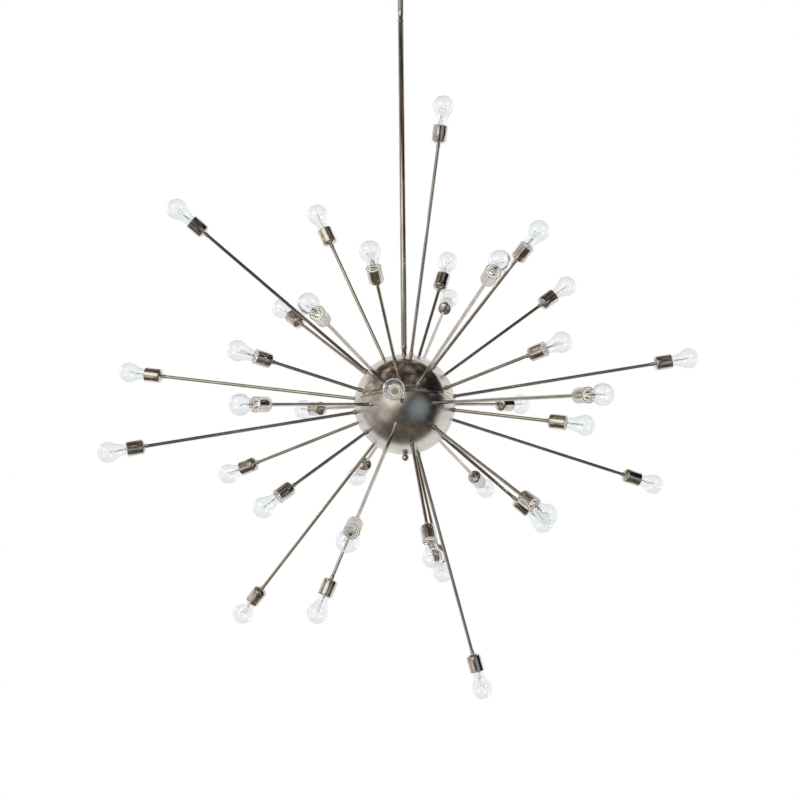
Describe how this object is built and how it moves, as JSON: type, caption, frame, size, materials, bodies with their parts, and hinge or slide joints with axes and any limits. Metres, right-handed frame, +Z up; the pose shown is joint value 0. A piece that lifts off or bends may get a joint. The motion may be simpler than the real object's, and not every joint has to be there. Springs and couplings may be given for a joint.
{
  "type": "sputnik chandelier",
  "caption": "Ceiling chandelier: a metal ball on a rigid stem with straight arms of three lengths pointing all ways, each ending in a socket cup with a globe lamp.",
  "frame": {"origin": "middle of the ceiling crossbar's top face, in the ceiling plane", "axes": "+Z up along the stem, -Y towards the viewer of the picture, +X to the picture's right"},
  "size_m": [1.3942, 1.2268, 2.0338],
  "materials": {
    "polished_nickel": "polished",
    "plated_steel": "plated, satin",
    "socket_insulator": "matte",
    "lamp_glass": "clear, smooth"
  },
  "bodies": {
    "ceiling_fitting": {"mounting_crossbar": "plated_steel", "crossbar_nut": "plated_steel", "canopy_nipple": "plated_steel", "ceiling_canopy": "polished_nickel", "canopy_screws": "plated_steel", "canopy_cap_nuts": "polished_nickel", "canopy_collar": "polished_nickel", "joint_upper_fork": "polished_nickel"},
    "swivel_cross": {"joint_cross": "plated_steel"},
    "chandelier": {"joint_lower_fork": "polished_nickel", "upper_stem": "polished_nickel", "stem_nipples": "plated_steel", "stem_coupler": "polished_nickel", "lower_stem": "polished_nickel", "hub_lock_ring": "polished_nickel", "hub_sleeve": "polished_nickel", "hub_upper_shell": "polished_nickel", "hub_lower_shell": "polished_nickel", "hub_tie_rod": "plated_steel", "hub_clamp_washers": "plated_steel", "hub_clamp_nuts": "plated_steel", "bottom_finial": "polished_nickel", "arm_seats_ring_1": "polished_nickel", "arm_tubes_ring_1": "polished_nickel", "socket_cups_ring_1": "polished_nickel", "socket_cores_ring_1": "socket_insulator", "lamps_ring_1": "lamp_glass", "arm_seats_ring_2": "polished_nickel", "arm_tubes_ring_2": "polished_nickel", "socket_cups_ring_2": "polished_nickel", "socket_cores_ring_2": "socket_insulator", "lamps_ring_2": "lamp_glass", "arm_seats_ring_3": "polished_nickel", "arm_tubes_ring_3": "polished_nickel", "socket_cups_ring_3": "polished_nickel", "socket_cores_ring_3": "socket_insulator", "lamps_ring_3": "lamp_glass", "arm_seats_ring_4": "polished_nickel", "arm_tubes_ring_4": "polished_nickel", "socket_cups_ring_4": "polished_nickel", "socket_cores_ring_4": "socket_insulator", "lamps_ring_4": "lamp_glass", "arm_seats_ring_5": "polished_nickel", "arm_tubes_ring_5": "polished_nickel", "socket_cups_ring_5": "polished_nickel", "socket_cores_ring_5": "socket_insulator", "lamps_ring_5": "lamp_glass", "arm_seats_ring_6": "polished_nickel", "arm_tubes_ring_6": "polished_nickel", "socket_cups_ring_6": "polished_nickel", "socket_cores_ring_6": "socket_insulator", "lamps_ring_6": "lamp_glass"}
  },
  "joints": [
    {"name": "swing_front_back", "type": "hinge", "parent": "ceiling_fitting", "child": "swivel_cross", "pos_m": [0, 0, -0.0532], "axis": [1, 0, 0], "range_deg": [-30, 30]},
    {"name": "swing_left_right", "type": "hinge", "parent": "swivel_cross", "child": "chandelier", "pos_m": [0, 0, -0.0532], "axis": [0, 1, 0], "range_deg": [-30, 30]}
  ]
}
